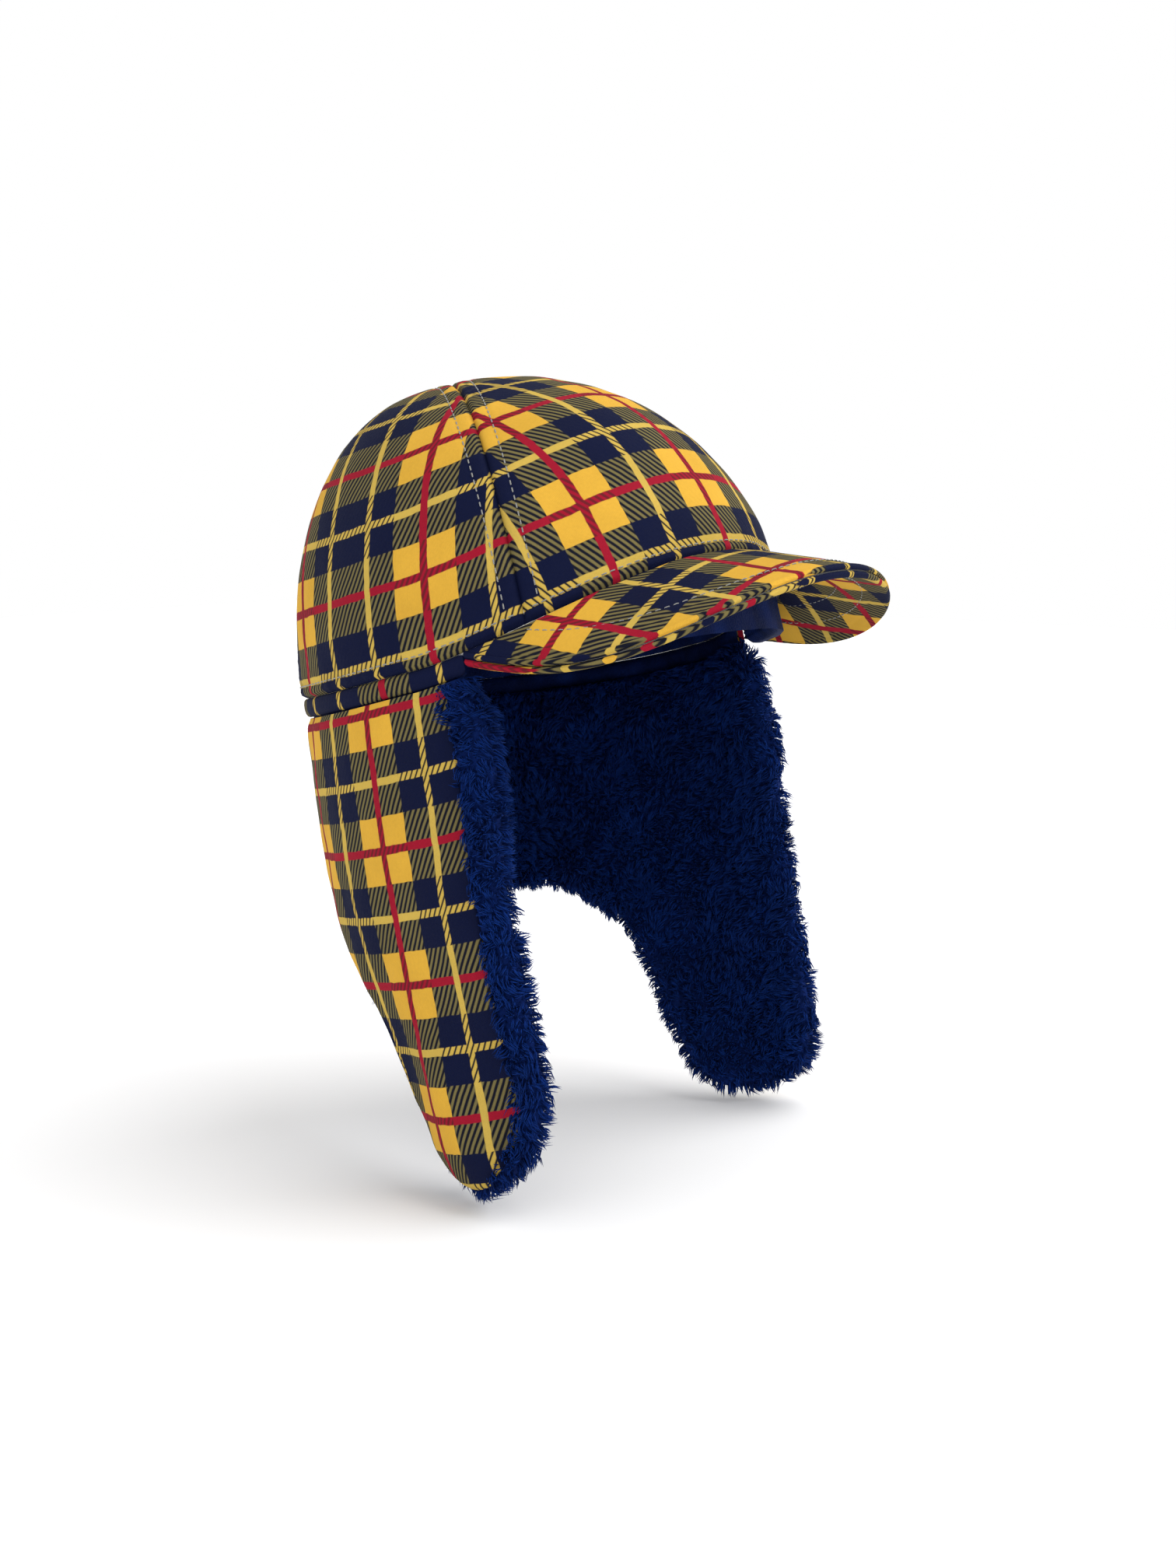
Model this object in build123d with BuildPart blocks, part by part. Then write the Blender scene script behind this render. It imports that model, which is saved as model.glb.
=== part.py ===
from build123d import *
import os
from math import cos, pi, radians, sin, sqrt

# Trapper hat: a sewn cap with a curved brim and a plush-lined flap that hangs round the ears and neck.
# The hat's own frame has its opening in the plane z = 0, its front towards -y and the wearer's right at -x.
# That frame leans back by PITCH, so the front of the opening sits higher than the nape, as when worn.
# Angles round the opening run from the front, 0, through the wearer's right, 90, to the nape, 180.

# Head opening and crown, outer cloth surface
PITCH = 14.5            # lean of the hat's own frame, degrees
OPEN_DEPTH = 106.0      # half of the opening, front to back
OPEN_WIDTH = 98.0       # half of the opening, side to side
CROWN_HEIGHT = 127.0
APEX_BACK = 24.0        # the seams meet this far behind the middle
FRONT_ROUND = 0.94      # smaller is fuller
BACK_ROUND = 0.72
SIDE_ROUND = 0.93
DOME_STEPS = (0, 12, 24, 36, 48, 60, 71, 80, 86)    # section angles of the dome, degrees

# Lower edge of the crown: the hem
HEM_SIDE = 4.0
HEM_FRONT_RISE = 24.0
HEM_RISE_POWER = 1.6
HEM_RISE_START = 80.0   # angle from the front where the hem starts to rise
HEM_NAPE_RISE = 8.0
BAND_HEIGHT = 8.0

# Layers, measured inwards from the outer cloth surface
CLOTH = 1.2
WADDING = (1.4, 4.4)
LINING = (4.6, 6.6)
BAND = (0.5, 1.7)
FACING = (1.9, 6.6)
FOREHEAD = (1.9, 10.0)
FLAP_CLOTH = (1.0, 2.2)
FLAP_PLUSH = (2.5, 16.0)

# Crown panels meet at these angles
FRONT_SEAM = 54.0
BACK_SEAM = 138.0

# Brim
BRIM_END = 68.0         # angle where the brim's root stops
BROW_END = 61.5         # the forehead band stops here, ahead of the plush
BRIM_REACH = 48.0
BRIM_SLOPE = 0.35       # drop for each millimetre forwards
BRIM_SQUARE = 0.7
BRIM_COVER = 1.2
BRIM_BOARD = 3.0
BRIM_GAP = 0.1
BRIM_INSET = 1.5        # the board stops this far inside the covers

# Flap: its segments meet at these angles, from the wearer's right ear to the middle of the nape
FLAP_FRONT = 70.6
FLAP_EAR_END = 113.0
FLAP_TIP_END = 128.0    # the ear flap's tip reaches further back than its upper part
FLAP_CORNER_END = 146.0
FLAP_NAPE = 180.0
SEGMENT_GAP = 0.15      # degrees taken off each side of a segment
FLAP_TOP_GAP = 0.5
FLAP_LEVELS = (         # height, wider each side, deeper front and back, middle moved back
    (12.0, 0.0, 0.0, 0.0),
    (-40.0, 6.0, 3.0, 0.0),
    (-85.0, 7.0, 2.0, 0.0),
    (-215.0, 9.0, -37.0, -22.0),
)
FLAP_LOW = -215.0
TIP_HINGE = -104.0
TIP_GAP = 0.4
PLUSH_OVERHANG = 5.0    # plush shows this far past the cloth's edge

# Stitching, as raised thread lines
THREAD_RISE = 0.35
THREAD_WIDTH = 0.9
SEAM_STITCH_OFFSET = 7.0
HEM_STITCH_UP = 4.5
BRIM_ROWS = 5
BRIM_ROW_PITCH = 9.0

FAR = 260.0             # larger than the hat

lean = radians(PITCH)
hat = Plane(origin=(0, 0, 0), x_dir=(1, 0, 0), z_dir=(0, sin(lean), cos(lean)))
side = Plane(origin=(0, 0, 0), x_dir=hat.y_dir, z_dir=(1, 0, 0))
front = Plane(origin=(0, 0, 0), x_dir=(1, 0, 0), z_dir=-hat.y_dir)
os.makedirs("parts", exist_ok=True)


def save(part, name):
    part.label = name
    export_step(part, f"parts/{name}.step")


def hem_height(y):
    """Height of the crown's lower edge where the opening's outline is at y."""
    c = max(-1.0, min(1.0, -y / OPEN_DEPTH))
    start = cos(radians(HEM_RISE_START))
    rise = max(0.0, (c - start) / (1 - start)) ** HEM_RISE_POWER
    return HEM_SIDE + HEM_FRONT_RISE * rise + HEM_NAPE_RISE * min(c, 0.0) ** 2


def rim_point(angle, scale=1.0):
    t = radians(angle)
    return (-OPEN_WIDTH * sin(t) * scale, -OPEN_DEPTH * cos(t) * scale)


def dome(inset):
    """The crown's outer form, made smaller all round by inset."""
    with BuildPart() as form:
        for step in DOME_STEPS:
            q = radians(step)
            rise = sin(q)
            back = APEX_BACK * rise ** 2
            depth = OPEN_DEPTH - inset
            y_front = back - (depth + back) * cos(q) ** FRONT_ROUND
            y_back = back + (depth - back) * cos(q) ** BACK_ROUND
            with BuildSketch(hat.offset((CROWN_HEIGHT - inset) * rise)):
                with Locations((0, (y_front + y_back) / 2)):
                    Ellipse((OPEN_WIDTH - inset) * cos(q) ** SIDE_ROUND, (y_back - y_front) / 2)
        loft()
    return form.part


def dome_layer(outer, inner):
    with BuildPart() as layer:
        add(dome(outer))
        add(dome(inner), mode=Mode.SUBTRACT)
    return layer.part


def tube_layer(outer, inner, levels):
    """An elliptical tube wall round the opening, through levels like those of FLAP_LEVELS."""
    with BuildPart() as tube:
        for inset, mode in ((outer, Mode.ADD), (inner, Mode.SUBTRACT)):
            for height, wider, deeper, back in levels:
                with BuildSketch(hat.offset(height)):
                    with Locations((0, back)):
                        Ellipse(OPEN_WIDTH - inset + wider, OPEN_DEPTH - inset + deeper)
            loft(mode=mode)
    return tube.part


def wedge(start, end, centre=(0, 0)):
    """Everything between two angles round the opening, seen from above."""
    steps = max(2, int((end - start) / 40) + 1)
    rays = [rim_point(start + (end - start) * i / steps, 2.2) for i in range(steps + 1)]
    with BuildPart() as prism:
        with BuildSketch(hat.offset(FLAP_LOW - 20)):
            with BuildLine():
                Polyline(centre, *rays, centre)
            make_face()
        extrude(amount=FAR * 2)
    return prism.part


def hem_curve(lift):
    """Side-view points of the hem, raised by lift, from the front to the nape."""
    heights = [OPEN_DEPTH * (i / 10 - 1) for i in range(21)]
    return [(y, hem_height(y) + lift) for y in heights]


def above_hem(lift):
    """Everything above the hem raised by lift."""
    points = hem_curve(lift)
    with BuildPart() as block:
        with BuildSketch(side):
            with BuildLine():
                Spline(*points)
                Polyline(points[-1], (FAR, points[-1][1]), (FAR, FAR), (-FAR, FAR), (-FAR, points[0][1]), points[0])
            make_face()
        extrude(amount=FAR, both=True)
    return block.part


def common(*solids):
    with BuildPart() as piece:
        add(solids[0])
        for other in solids[1:]:
            add(other, mode=Mode.INTERSECT)
    return piece.part


def cut(solid, *tools):
    with BuildPart() as piece:
        add(solid)
        for tool in tools:
            add(tool, mode=Mode.SUBTRACT)
    return piece.part


# Crown: four cloth panels, the wadding behind them and the lining inside
PANELS = {
    "front": (-FRONT_SEAM, FRONT_SEAM),
    "right": (FRONT_SEAM, BACK_SEAM),
    "back": (BACK_SEAM, 360 - BACK_SEAM),
    "left": (360 - BACK_SEAM, 360 - FRONT_SEAM),
}


def crown_pieces():
    cap = above_hem(0.0)
    layers = {"panel": (0.0, CLOTH), "wadding": WADDING, "lining": LINING}
    for layer, (outer, inner) in layers.items():
        whole = common(dome_layer(outer, inner), cap)
        for place, (start, end) in PANELS.items():
            save(common(whole, wedge(start, end, (0, APEX_BACK))), f"{place}_{layer}")


def strip_along(angle, offset):
    """A thin upright slab beside the seam that runs from the apex to this angle."""
    x, y = rim_point(angle)
    length = sqrt(x * x + (y - APEX_BACK) ** 2)
    along = Vector(x / length, (y - APEX_BACK) / length)
    across = Vector(-along.Y, along.X)
    near = Vector(0, APEX_BACK) + across * offset + along * 14
    far = near + along * (length + 20)
    half = across * (THREAD_WIDTH / 2)
    corners = [(p.X, p.Y) for p in (near - half, far - half, far + half, near + half)]
    with BuildPart() as slab:
        with BuildSketch(hat.offset(-20)):
            Polygon(*corners, align=None)
        extrude(amount=FAR)
    return slab.part


def crown_stitching():
    skin = common(dome_layer(-THREAD_RISE, 0.0), above_hem(HEM_STITCH_UP))
    upper_skin = common(skin, above_hem(HEM_STITCH_UP + THREAD_WIDTH + 0.3))
    angles = (-FRONT_SEAM, FRONT_SEAM, BACK_SEAM, 360 - BACK_SEAM)
    with BuildPart() as lines:
        for angle in angles:
            for sign in (-1, 1):
                add(common(upper_skin, strip_along(angle, sign * SEAM_STITCH_OFFSET)))
    save(lines.part, "crown_topstitching")
    save(cut(skin, above_hem(HEM_STITCH_UP + THREAD_WIDTH)), "hem_stitching")


def band_pieces():
    """Cloth band and its inner facing below the hem, and the thick forehead band behind the brim."""
    below = above_hem(-0.2)
    back = wedge(BRIM_END + 1, 359 - BRIM_END)
    brow = wedge(-BROW_END, BROW_END)
    lower = above_hem(-BAND_HEIGHT)
    top = (HEM_SIDE + HEM_FRONT_RISE + 5, 0, 0, 0)
    low = (HEM_SIDE - BAND_HEIGHT - 5, 0, 0, 0)
    band = common(cut(tube_layer(*BAND, (top, low)), below), lower, back)
    save(band, "rim_band")
    facing = common(cut(tube_layer(*FACING, (top, low)), below), lower, back)
    save(facing, "rim_facing")
    forehead_low = (HEM_SIDE - BAND_HEIGHT, 0, 0, 0)
    forehead = common(cut(tube_layer(*FOREHEAD, (top, forehead_low)), below), brow)
    save(forehead, "forehead_band")


def brim_arch(x):
    """Height of the brim's upper side at y = 0, before it slopes down to the front."""
    half = OPEN_WIDTH * sin(radians(BRIM_END))
    end = hem_height(-OPEN_DEPTH * cos(radians(BRIM_END)))
    top = HEM_SIDE + HEM_FRONT_RISE
    root = top - (top - end) * (x / half) ** 2
    return root + BRIM_SLOPE * OPEN_DEPTH * sqrt(max(0.0, 1 - (x / OPEN_WIDTH) ** 2))


def brim_slab(upper, lower):
    """A sheet that follows the arch, between two depths below the brim's upper side."""
    reach = OPEN_WIDTH * 0.985
    xs = [reach * (i / 6 - 1) for i in range(13)]
    top_line = [(x, brim_arch(x) - upper) for x in xs]
    low_line = [(x, brim_arch(x) - lower) for x in xs]
    with BuildPart() as slab:
        with BuildSketch(front):
            with BuildLine():
                Spline(*top_line)
                Spline(*low_line)
                Line(top_line[0], low_line[0])
                Line(top_line[-1], low_line[-1])
            make_face()
        extrude(amount=FAR, dir=-hat.y_dir - hat.z_dir * BRIM_SLOPE)
    return slab.part


def brim_plan(inset):
    """The brim seen from above: a squared half oval whose back follows the crown."""
    half = OPEN_WIDTH * sin(radians(BRIM_END)) - inset
    root = OPEN_DEPTH * cos(radians(BRIM_END))
    length = OPEN_DEPTH + BRIM_REACH - root - inset
    edge = []
    for i in range(17):
        t = pi * (i / 16 - 0.5)
        edge.append((half * sin(t), -root - length * max(cos(t), 0.0) ** BRIM_SQUARE))
    with BuildPart() as plan:
        with BuildSketch(hat.offset(-80)):
            with BuildLine():
                Spline(*edge)
                Line(edge[-1], edge[0])
            make_face()
        extrude(amount=FAR)
        with BuildSketch(hat.offset(-80)):
            Ellipse(OPEN_WIDTH + 0.3, OPEN_DEPTH + 0.3)
        extrude(amount=FAR, mode=Mode.SUBTRACT)
    return plan.part


def brim_pieces():
    board_top = BRIM_COVER + BRIM_GAP
    under_top = board_top + BRIM_BOARD + BRIM_GAP
    save(common(brim_slab(0.0, BRIM_COVER), brim_plan(0.0)), "brim_top_cover")
    save(common(brim_slab(board_top, board_top + BRIM_BOARD), brim_plan(BRIM_INSET)), "brim_board")
    save(common(brim_slab(under_top, under_top + BRIM_COVER), brim_plan(0.0)), "brim_under_cover")
    skin = brim_slab(-THREAD_RISE, 0.0)
    under_skin = brim_slab(under_top + BRIM_COVER, under_top + BRIM_COVER + THREAD_RISE)
    top_row = cut(brim_plan(BRIM_ROW_PITCH), brim_plan(BRIM_ROW_PITCH + THREAD_WIDTH))
    save(common(skin, top_row), "brim_top_stitching")
    with BuildPart() as rows:
        for i in range(1, BRIM_ROWS):
            inset = BRIM_ROW_PITCH * i
            add(common(under_skin, cut(brim_plan(inset), brim_plan(inset + THREAD_WIDTH))))
    save(rows.part, "brim_under_stitching")


# Flap
def flap_outline(grow):
    """The flap's shape in side view, made larger all round by grow; the plush is larger than the cloth."""
    front_y = -OPEN_DEPTH * cos(radians(FLAP_FRONT)) - grow
    nape_z = -80.0 - grow
    with BuildPart() as prism:
        with BuildSketch(side):
            with BuildLine():
                drop = Line((front_y, 60), (front_y, -150))
                lobe = Spline(
                    drop @ 1,
                    (-31 - grow * 0.8, -176 - grow * 0.6),
                    (-18 - grow * 0.4, -191 - grow),
                    (0, -197.5 - grow),
                    (18 + grow * 0.5, -193 - grow),
                    (32 + grow, -176 - grow * 0.5),
                    (38 + grow, -154),
                    (45 + grow, -130 - grow * 0.2),
                    (58 + grow * 0.7, -108 - grow * 0.8),
                    (78 + grow * 0.3, -88 - grow),
                    (100, nape_z),
                    tangents=[(0, -1), (1, 0)],
                )
                Polyline(lobe @ 1, (FAR, nape_z), (FAR, 60), drop @ 0)
            make_face()
        extrude(amount=FAR, both=True)
    return prism.part


def slab_between(high, low):
    with BuildPart() as slab:
        with BuildSketch(hat.offset(low)):
            Rectangle(FAR * 2, FAR * 2)
        extrude(amount=high - low)
    return slab.part


def flap_pieces():
    """Cloth and plush of every segment, the right side first and then its mirror image."""
    under_band = above_hem(-BAND_HEIGHT - FLAP_TOP_GAP)
    upper = slab_between(60, TIP_HINGE + TIP_GAP / 2)
    lower = slab_between(TIP_HINGE - TIP_GAP / 2, FLAP_LOW)
    tip_room = slab_between(TIP_HINGE + TIP_GAP / 2, FLAP_LOW - 20)
    segments = {
        "ear": (FLAP_FRONT - 12, FLAP_EAR_END, upper),
        "ear_tip": (FLAP_FRONT - 12, FLAP_TIP_END, lower),
        "corner": (FLAP_EAR_END, FLAP_CORNER_END, None),
        "neck": (FLAP_CORNER_END, FLAP_NAPE, None),
    }
    layers = {"cloth": (FLAP_CLOTH, 0.0), "plush": (FLAP_PLUSH, PLUSH_OVERHANG)}
    for layer, ((outer, inner), grow) in layers.items():
        wall = tube_layer(outer, inner, FLAP_LEVELS)
        sheet = common(cut(wall, under_band), flap_outline(grow))
        for place, (start, end, level) in segments.items():
            piece = common(sheet, wedge(start + SEGMENT_GAP, end - SEGMENT_GAP))
            if level is not None:
                piece = common(piece, level)
            if place == "corner":
                piece = cut(piece, common(tip_room, wedge(FLAP_EAR_END - 1, FLAP_TIP_END + SEGMENT_GAP)))
            whole = piece.solids().sort_by(SortBy.VOLUME)[-1]
            save(whole, f"right_{place}_{layer}")
            save(mirror(whole, about=Plane.YZ), f"left_{place}_{layer}")


crown_pieces()
crown_stitching()
band_pieces()
brim_pieces()
flap_pieces()
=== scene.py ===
import bpy
import numpy as np
from math import cos, pi, radians, sin, sqrt
from mathutils import Matrix, Vector


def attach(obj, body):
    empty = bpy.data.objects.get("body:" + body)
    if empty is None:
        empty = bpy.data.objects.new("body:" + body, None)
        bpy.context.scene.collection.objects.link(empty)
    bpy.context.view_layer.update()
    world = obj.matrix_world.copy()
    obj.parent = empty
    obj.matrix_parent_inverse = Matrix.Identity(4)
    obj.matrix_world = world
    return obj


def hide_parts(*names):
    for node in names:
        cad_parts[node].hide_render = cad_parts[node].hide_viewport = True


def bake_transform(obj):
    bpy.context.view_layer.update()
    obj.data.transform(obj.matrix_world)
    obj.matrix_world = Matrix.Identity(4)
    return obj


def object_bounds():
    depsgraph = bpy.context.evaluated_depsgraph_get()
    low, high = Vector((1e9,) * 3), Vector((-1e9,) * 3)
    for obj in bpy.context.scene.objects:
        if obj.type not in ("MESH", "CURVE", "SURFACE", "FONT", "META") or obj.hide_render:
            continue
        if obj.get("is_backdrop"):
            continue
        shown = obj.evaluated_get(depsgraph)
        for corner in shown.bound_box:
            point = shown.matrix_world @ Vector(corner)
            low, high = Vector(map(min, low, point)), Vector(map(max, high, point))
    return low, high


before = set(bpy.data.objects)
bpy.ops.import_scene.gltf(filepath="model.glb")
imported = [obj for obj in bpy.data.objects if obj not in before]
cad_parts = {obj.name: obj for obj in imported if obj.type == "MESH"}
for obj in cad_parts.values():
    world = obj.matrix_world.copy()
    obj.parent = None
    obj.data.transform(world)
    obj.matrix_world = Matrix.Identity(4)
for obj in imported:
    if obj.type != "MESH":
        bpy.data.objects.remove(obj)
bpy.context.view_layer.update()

# The hat's own frame, in millimetres: opening in z = 0, front at -y, wearer's right at -x.
# Angles round the opening, in degrees: front 0, wearer's right 90, nape 180, wearer's left 270.
PITCH = radians(14.5)
DEPTH, WIDTH, HEIGHT, APEX = 106.0, 98.0, 127.0, 24.0
BRIM_END, BROW_END, BRIM_REACH, BRIM_SLOPE, BRIM_THICK = 68.0, 61.5, 48.0, 0.35, 5.6
FLAP_FRONT, EAR_END, CORNER_END = 70.6, 113.0, 146.0
SEAM_TOP = 8.6          # the flap hangs from this far below the hem
TIP_HINGE, TIP_END = -104.0, 128.0
HAIR_LENGTH = 6.4
HAIRS = {"ear": 20200, "corner": 11500, "neck": 9500}

# Middle angle and spread of each crown panel, with where its cloth starts in the check
PANELS = {"front": (0, 108, 0.0), "right": (96, 84, 98.0), "back": (180, 84, 60.0), "left": (264, 84, 33.0)}

# How the brim's cloth lies in the check: a scale and shift across it, and a shift along it
BRIM_U, BRIM_V = (1.0, 82.0), -128.0


def to_row(p):
    """Hat frame in millimetres to row frame in metres."""
    p = np.asarray(p, float)
    x, y, z = p[..., 0], p[..., 1], p[..., 2]
    turned = (x, y * cos(PITCH) + z * sin(PITCH), z * cos(PITCH) - y * sin(PITCH))
    return np.stack(turned, -1) / 1000


def step(x, a, b):
    t = np.clip((x - a) / (b - a), 0, 1)
    return t * t * (3 - 2 * t)


def ripple(p, size, seed):
    """Smooth seeded unevenness, about -1 to 1, with bumps roughly size millimetres across."""
    r = np.random.default_rng(seed)
    k = r.normal(size=(7, 3))
    k /= np.linalg.norm(k, axis=1, keepdims=True)
    k *= (2 * pi / size) * r.uniform(0.45, 1.0, (7, 1))
    return np.sin(p @ k.T + r.uniform(0, 2 * pi, 7)).sum(-1) / 3.2


def hem_height(y):
    c = np.clip(-y / DEPTH, -1, 1)
    start = cos(radians(80))
    rise = np.clip((c - start) / (1 - start), 0, None) ** 1.6
    return 4 + 24 * rise + 8 * np.minimum(c, 0) ** 2


def dome(theta, q, inset=0.0):
    """The crown's form at an angle round the opening and a section angle, both in radians."""
    rise, c = np.sin(q), np.cos(q)
    depth = DEPTH - inset
    back = APEX * rise ** 2
    y0 = back - (depth + back) * c ** 0.94
    y1 = back + (depth - back) * c ** 0.72
    half, middle, wide = (y1 - y0) / 2, (y0 + y1) / 2, (WIDTH - inset) * c ** 0.93
    dx, dy = -WIDTH * np.sin(theta), -DEPTH * np.cos(theta) - APEX
    a = (dx / wide) ** 2 + (dy / half) ** 2
    b = 2 * dy * (APEX - middle) / half ** 2
    e = ((APEX - middle) / half) ** 2 - 1
    t = (-b + np.sqrt(b * b - 4 * a * e)) / (2 * a)
    return np.stack(np.broadcast_arrays(t * dx, APEX + t * dy, (HEIGHT - inset) * rise), -1)


def brim_arch(x):
    half = WIDTH * sin(radians(BRIM_END))
    end = hem_height(-DEPTH * cos(radians(BRIM_END)))
    arch = BRIM_SLOPE * DEPTH * np.sqrt(np.clip(1 - (x / WIDTH) ** 2, 0, None))
    return 28 - (28 - end) * (x / half) ** 2 + arch


def brim_edge(t, inset=0.0):
    """Plan of the brim's outer edge, moved in by inset; t runs from -90 to 90 degrees."""
    half = WIDTH * sin(radians(BRIM_END)) - inset
    root = DEPTH * cos(radians(BRIM_END))
    length = DEPTH + BRIM_REACH - root - inset
    return half * np.sin(t), -root - length * np.clip(np.cos(t), 0, 1) ** 0.7


LEVELS = np.array([12.0, -40.0, -85.0, -215.0])
WIDER = np.polyfit(LEVELS, (0, 6, 7, 9), 3)
DEEPER = np.polyfit(LEVELS, (0, 3, 2, -37), 3)
MOVED = np.polyfit(LEVELS, (0, 0, 0, -22), 3)


def flap(theta, z, inset=0.0):
    """The flap's hanging surface at an angle round the opening, in radians, and a height."""
    z = np.asarray(z, float)
    wave = 2.0 * np.sin(theta * 8.1 + z / 33) + 1.3 * np.sin(theta * 15.3 - z / 21 + 1)
    out = wave * step(-z, 45, 165) - inset
    wide = WIDTH + out + np.polyval(WIDER, z)
    deep = DEPTH + out + np.polyval(DEEPER, z)
    back = np.polyval(MOVED, z)
    dx, dy = -WIDTH * np.sin(theta), -DEPTH * np.cos(theta)
    a = (dx / wide) ** 2 + (dy / deep) ** 2
    b = -2 * dy * back / deep ** 2
    e = (back / deep) ** 2 - 1
    t = (-b + np.sqrt(b * b - 4 * a * e)) / (2 * a)
    return np.stack(np.broadcast_arrays(t * dx, t * dy, z), -1)


# The flap's lower edge in side view: the ear lobe's front, its tip and the curve up to the nape
LOBE = np.array([
    (-38.2, -150), (-37.4, -160), (-35.4, -168.5), (-31, -178), (-25, -186), (-18, -191.5), (-9, -195.8),
    (0, -197.5), (9, -196.6), (18, -193), (26, -186), (32, -176), (38, -154), (45, -130), (58, -108),
    (78, -88), (112, -80.0)])
LOBE_Y, LOBE_Z = LOBE.T


def flap_low(theta, grow=0.0):
    """Lowest level of the flap at each angle round the opening; grow enlarges its outline."""
    widen = [0, 1, 0.8, 0.3, 1]
    z = np.full(theta.shape, -120.0)
    for _ in range(40):
        y = flap(theta, z)[..., 1]
        shift = np.interp(y, [-30, 0, 30, 60], [-grow, 0, grow, grow * 0.5])
        low = np.interp(y - shift, LOBE_Y, LOBE_Z) - grow * np.interp(y, [-36, -20, 20, 35, 60], widen)
        z = z + 0.5 * (low - z)
    soft = np.convolve(np.pad(z, 3, mode="edge"), np.ones(7) / 7, "valid")
    return soft


def normals(p):
    n = np.cross(np.gradient(p, axis=1), np.gradient(p, axis=0))
    return n / (np.linalg.norm(n, axis=-1, keepdims=True) + 1e-9)


def grid_faces(rows, cols, start=0):
    a = (np.arange(rows - 1)[:, None] * cols + np.arange(cols - 1)[None]).ravel() + start
    return np.stack([a, a + 1, a + cols + 1, a + cols], -1)


def make(name, points, faces, uv, mat, nodes=(), body="crown", finish=None, flip=False):
    """A mesh piece from points in the hat frame; uv is in millimetres of cloth."""
    faces = np.asarray(faces)
    if flip:
        faces = faces[:, ::-1]
    me = bpy.data.meshes.new(name)
    me.from_pydata(to_row(points).tolist(), [], faces.tolist())
    layer = me.uv_layers.new(name="UVMap")
    index = np.empty(len(me.loops), np.int32)
    me.loops.foreach_get("vertex_index", index)
    layer.data.foreach_set("uv", np.asarray(uv, np.float32)[index].ravel())
    me.polygons.foreach_set("use_smooth", np.ones(len(me.polygons), bool))
    me.materials.append(mat)
    me.update()
    ob = bpy.data.objects.new(name, me)
    bpy.context.scene.collection.objects.link(ob)
    if nodes:
        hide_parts(*nodes)
    if body:
        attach(ob, body)
    return ob


# Materials
class Nodes:
    """Short ways to add and join shader nodes in one material."""

    def __init__(self, name):
        self.mat = bpy.data.materials.new(name)
        self.mat.use_nodes = True
        self.tree = self.mat.node_tree
        self.tree.nodes.clear()
        self.out = self.tree.nodes.new("ShaderNodeOutputMaterial")
        self.bsdf = self.tree.nodes.new("ShaderNodeBsdfPrincipled")
        self.tree.links.new(self.bsdf.outputs[0], self.out.inputs[0])

    def put(self, socket, value):
        if isinstance(value, bpy.types.NodeSocket):
            self.tree.links.new(value, socket)
        else:
            socket.default_value = value

    def math(self, kind, *values, clamp=False):
        node = self.tree.nodes.new("ShaderNodeMath")
        node.operation, node.use_clamp = kind, clamp
        for socket, value in zip(node.inputs, values):
            self.put(socket, value)
        return node.outputs[0]

    def mix(self, amount, a, b):
        node = self.tree.nodes.new("ShaderNodeMix")
        node.data_type = "RGBA"
        self.put(node.inputs[0], amount)
        self.put(node.inputs[6], a)
        self.put(node.inputs[7], b)
        return node.outputs[2]

    def noise(self, vector, scale, detail=3.0):
        node = self.tree.nodes.new("ShaderNodeTexNoise")
        self.put(node.inputs["Vector"], vector)
        node.inputs["Scale"].default_value = scale
        node.inputs["Detail"].default_value = detail
        return node.outputs["Fac"]

    def coordinates(self):
        node = self.tree.nodes.new("ShaderNodeTexCoord")
        return node.outputs["UV"], node.outputs["Object"]

    def split(self, vector):
        node = self.tree.nodes.new("ShaderNodeSeparateXYZ")
        self.put(node.inputs[0], vector)
        return node.outputs[0], node.outputs[1]

    def level(self, value, low, high):
        """A noise or mask value spread to a range."""
        return self.math("MULTIPLY_ADD", value, high - low, low)

    def bump(self, height, strength, distance):
        node = self.tree.nodes.new("ShaderNodeBump")
        node.inputs["Strength"].default_value = strength
        node.inputs["Distance"].default_value = distance
        self.put(node.inputs["Height"], height)
        self.put(self.bsdf.inputs["Normal"], node.outputs[0])

    def tint(self, colour, amount):
        """colour made darker or lighter by a number."""
        node = self.tree.nodes.new("ShaderNodeHueSaturation")
        self.put(node.inputs["Color"], colour)
        self.put(node.inputs["Value"], amount)
        return node.outputs[0]


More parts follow.
